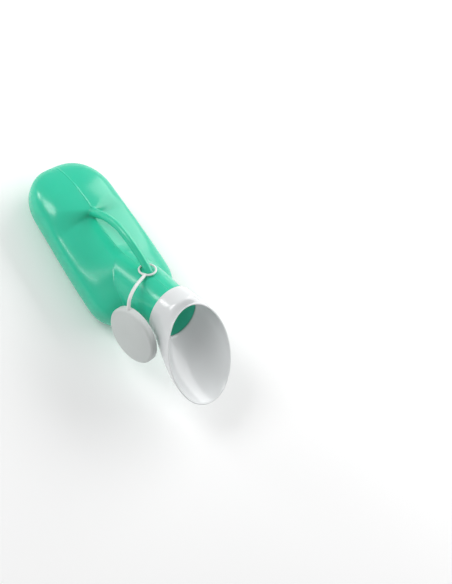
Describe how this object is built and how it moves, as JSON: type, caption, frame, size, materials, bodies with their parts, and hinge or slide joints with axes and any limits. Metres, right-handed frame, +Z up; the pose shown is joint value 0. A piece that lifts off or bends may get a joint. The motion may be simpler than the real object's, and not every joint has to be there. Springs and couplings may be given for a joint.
{
  "type": "urine bottle",
  "caption": "Blow-moulded urine bottle lying on its flat back, with a bar handle, a tilted neck, a push-on scoop-shaped female adapter and a press-on cap on a ring and strap.",
  "frame": {"origin": "on the floor under the middle of the object's bounding box", "axes": "+X from the base end towards the mouth, +Z up out of the flat back the bottle lies on, Y = 0 the mould's parting plane; the cap hangs on the -Y side"},
  "size_m": [0.3246, 0.108, 0.1165],
  "materials": {
    "green_polyethylene": "glossy, slightly translucent blow-moulded polyethylene",
    "white_adapter_plastic": "glossy moulded plastic",
    "white_closure_plastic": "satin flexible polyethylene",
    "grey_white_cap_plastic": "satin flexible polyethylene"
  },
  "bodies": {
    "bottle": {"bottle_body": "green_polyethylene"},
    "adapter": {"female_adapter": "white_adapter_plastic"},
    "ring": {"tether_ring": "white_closure_plastic"},
    "strap": {"tether_strap": "white_closure_plastic"},
    "cap": {"cap": "grey_white_cap_plastic"}
  },
  "joints": [
    {"name": "adapter_pull", "type": "slide", "parent": "bottle", "child": "adapter", "axis": [0.8434, 0, 0.5373], "range_m": [0, 0.06]},
    {"name": "ring_lift", "type": "hinge", "parent": "bottle", "child": "ring", "pos_m": [-0.0037, 0, 0.08102], "axis": [0, -1, 0], "range_deg": [0, 20]},
    {"name": "strap_bend", "type": "hinge", "parent": "ring", "child": "strap", "pos_m": [0.008, -0.008, 0.0883], "axis": [-0.7341, -0.5003, -0.459], "range_deg": [0, 70]},
    {"name": "cap_bend", "type": "hinge", "parent": "strap", "child": "cap", "pos_m": [0.03272, -0.04855, 0.08825], "axis": [-0.7283, -0.0506, -0.6834], "range_deg": [0, 75]}
  ]
}
